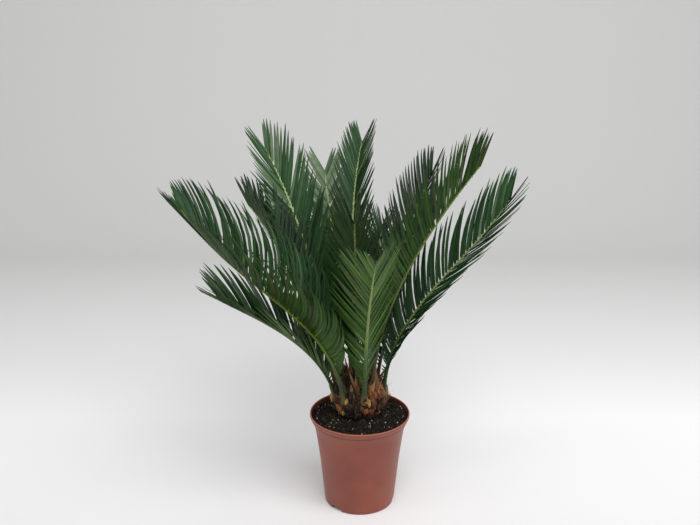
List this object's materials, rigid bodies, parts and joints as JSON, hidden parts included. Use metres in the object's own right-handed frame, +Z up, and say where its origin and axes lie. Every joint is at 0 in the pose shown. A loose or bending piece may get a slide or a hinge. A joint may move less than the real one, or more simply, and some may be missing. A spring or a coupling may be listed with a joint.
{
  "type": "potted sago palm",
  "caption": "Young sago palm with a scaly egg-shaped trunk and a crown of stiff, feather-shaped fronds, growing in soil in a tapered plastic pot with a stepped rim.",
  "frame": {"origin": "centre of the pot's flat underside", "axes": "+Z up along the pot's axis, -Y towards the front, +X to the right seen from the front"},
  "size_m": [0.5557, 0.5916, 0.6517],
  "materials": {
    "pot": "satin moulded plastic, terracotta brown",
    "soil": "loose dark potting soil with pale grains",
    "trunk": "rough brown leaf bases with ochre patches",
    "frond": "stiff glossy leaf, dark blue-green above and duller below"
  },
  "bodies": {
    "root": {"pot": "pot", "soil": "soil", "trunk": "trunk", "frond_right_low": "frond", "frond_right_tall": "frond", "frond_left_low": "frond", "frond_left_front": "frond", "frond_front_low": "frond", "frond_rear_left_tall": "frond", "frond_rear_tall": "frond", "frond_left_rear": "frond", "frond_rear_right_tall": "frond", "frond_rear_left": "frond", "frond_front_tall": "frond", "frond_rear_right": "frond", "frond_rear_left_low": "frond", "frond_right_inner": "frond"}
  },
  "joints": []
}
